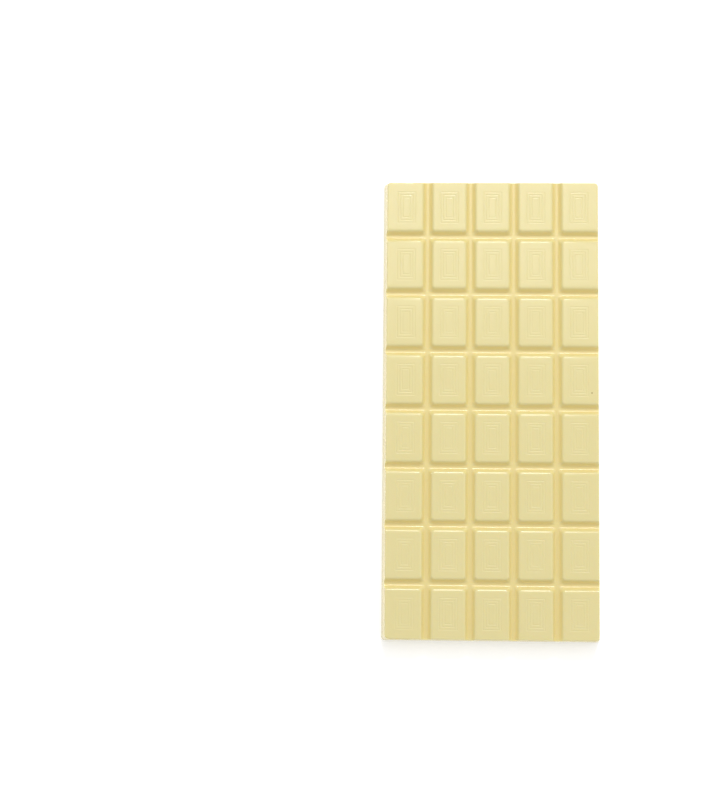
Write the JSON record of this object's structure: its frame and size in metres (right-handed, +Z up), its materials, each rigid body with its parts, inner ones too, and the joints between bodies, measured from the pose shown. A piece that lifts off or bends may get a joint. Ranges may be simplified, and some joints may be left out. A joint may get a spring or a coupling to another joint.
{
  "type": "white chocolate bar",
  "caption": "Bare moulded bar of white chocolate: rectangular tablets parted by rounded grooves, fine nested rectangles sunk in each face, drafted outer walls and a flat back.",
  "frame": {"origin": "middle of the flat back that the bar rests on", "axes": "+Z up out of the tablets' faces, +Y along the bar's length, X across its width"},
  "size_m": [0.0732, 0.1554, 0.0078],
  "materials": {
    "white_chocolate": "pale cream white chocolate with the soft even gloss of a polished mould"
  },
  "bodies": {
    "root": {"bar": "white_chocolate"}
  },
  "joints": []
}
